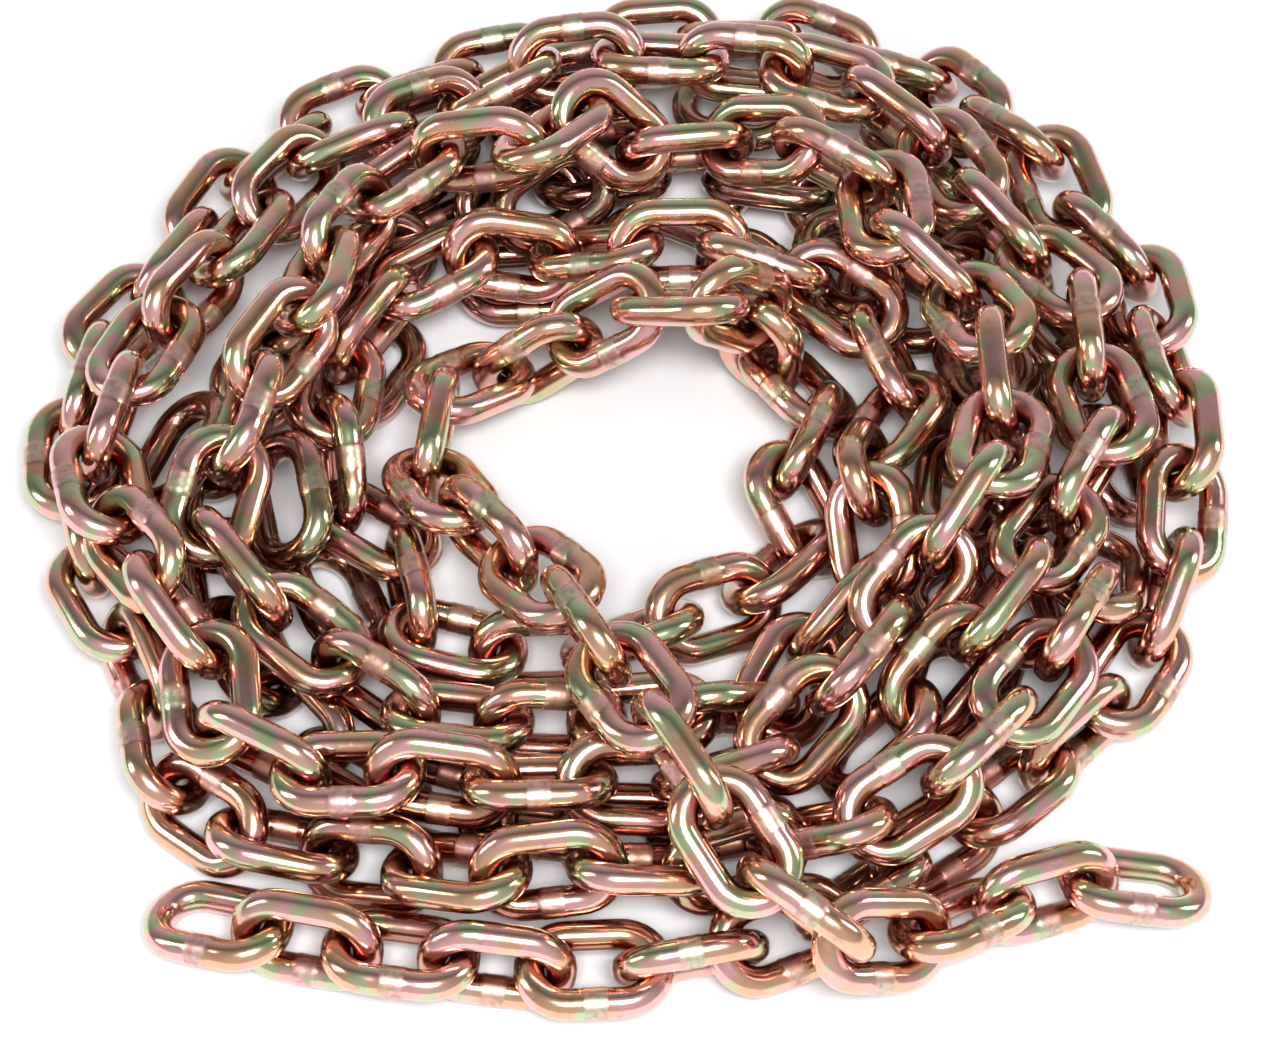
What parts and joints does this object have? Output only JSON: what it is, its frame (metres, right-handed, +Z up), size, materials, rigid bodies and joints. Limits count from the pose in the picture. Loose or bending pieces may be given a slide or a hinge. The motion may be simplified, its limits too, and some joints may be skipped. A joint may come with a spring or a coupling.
{
  "type": "steel chain heap",
  "caption": "Loose ring-shaped heap of short-link plated steel chain, coiled on a flat floor with a free tail lying out at each side.",
  "frame": {"origin": "on the floor, under the middle of the heap's box", "axes": "+Z up, +X to the right and +Y to the back as the heap is pictured, with the two tails along the front"},
  "size_m": [0.412, 0.4204, 0.0842],
  "materials": {
    "plated_steel": "smooth yellow chromate plating, gold with pink and green patches",
    "shaded_steel": "the same plating in the heap's own shade"
  },
  "bodies": {
    "root": {"chain_run_007_010": "plated_steel", "chain_run_011_013": "plated_steel", "chain_run_014_018": "plated_steel", "chain_run_019_021": "plated_steel", "chain_run_022_026": "plated_steel", "chain_run_027_030": "plated_steel", "chain_run_031_032": "plated_steel", "chain_run_033_037": "plated_steel", "chain_run_038_041": "plated_steel", "chain_run_042_043": "plated_steel", "chain_run_044_048": "plated_steel", "chain_run_049_052": "plated_steel", "chain_run_079_083": "plated_steel", "chain_run_084_087": "plated_steel", "chain_run_088_089": "plated_steel", "chain_run_090_095": "plated_steel", "chain_run_096_097": "plated_steel", "chain_run_098_103": "plated_steel", "chain_run_104_107": "plated_steel", "chain_run_108_110": "plated_steel", "chain_run_111_113": "plated_steel", "chain_run_114_117": "plated_steel", "chain_run_118_123": "plated_steel", "chain_run_124_127": "plated_steel", "chain_run_128_129": "plated_steel", "chain_run_130_133": "plated_steel", "chain_run_134_136": "plated_steel", "chain_run_137_140": "plated_steel", "chain_run_141_146": "plated_steel", "chain_run_147_149": "plated_steel", "chain_run_150_154": "plated_steel", "chain_run_155_158": "plated_steel", "chain_run_159_160": "plated_steel", "chain_run_161_165": "plated_steel", "chain_run_166_168": "plated_steel", "chain_run_169_173": "plated_steel", "crossing_link_1": "plated_steel", "crossing_link_10": "plated_steel", "crossing_link_2": "plated_steel", "crossing_link_3": "plated_steel", "crossing_link_4": "plated_steel", "crossing_link_5": "plated_steel", "crossing_link_6": "plated_steel", "crossing_link_7": "plated_steel", "crossing_link_8": "plated_steel", "crossing_link_9": "plated_steel", "front_tail_link_1": "plated_steel", "front_tail_link_2": "plated_steel", "front_tail_link_3": "plated_steel", "front_tail_link_4": "plated_steel", "front_tail_link_5": "plated_steel", "front_tail_link_6": "plated_steel", "hidden_turn_1": "shaded_steel", "hidden_turn_2": "shaded_steel", "hidden_turn_3": "shaded_steel", "hidden_turn_4": "shaded_steel", "hidden_turn_5": "shaded_steel", "hidden_turn_6": "shaded_steel", "hidden_turn_7": "shaded_steel", "hidden_turn_8": "shaded_steel"}
  },
  "joints": []
}
